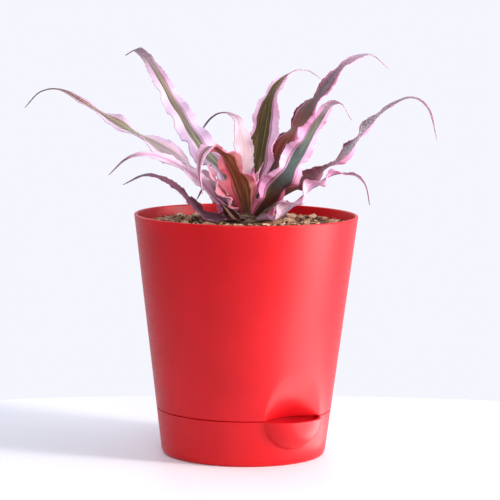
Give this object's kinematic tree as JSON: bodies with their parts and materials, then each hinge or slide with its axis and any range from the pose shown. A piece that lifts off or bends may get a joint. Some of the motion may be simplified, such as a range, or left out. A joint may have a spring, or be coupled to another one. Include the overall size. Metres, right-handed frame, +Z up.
{
  "type": "potted earth star plant",
  "caption": "Low rosette of waved pink and olive strap leaves in a tapered red self-watering pot with a side filling mouth.",
  "frame": {"origin": "middle of the flat underside of the water base, on the pot's axis", "axes": "+Z up along the pot's axis; -Y towards the filling mouth"},
  "size_m": [0.167, 0.1756, 0.2151],
  "materials": {
    "red_plastic": "satin moulded plastic, saturated red",
    "potting_mix": "coarse dark mix with tan husk chips",
    "stem": "dull brown, scarred by old leaf bases",
    "leaf": "waxy leaf, pink margins and an olive band, scurfy grey underside",
    "heart_leaf": "young waxy leaf, brighter pink"
  },
  "bodies": {
    "root": {"water_base": "red_plastic", "pot": "red_plastic", "potting_mix": "potting_mix", "stem": "stem", "leaf_01": "leaf", "leaf_02": "leaf", "leaf_03": "leaf", "leaf_04": "leaf", "leaf_05": "leaf", "leaf_06": "leaf", "leaf_07": "leaf", "leaf_08": "leaf", "leaf_09": "leaf", "leaf_10": "leaf", "leaf_11": "leaf", "leaf_12": "leaf", "leaf_13": "leaf", "leaf_14": "leaf", "leaf_15": "leaf", "leaf_16": "leaf", "leaf_17": "leaf", "heart_leaf_1": "heart_leaf", "heart_leaf_2": "heart_leaf", "heart_leaf_3": "heart_leaf"}
  },
  "joints": []
}
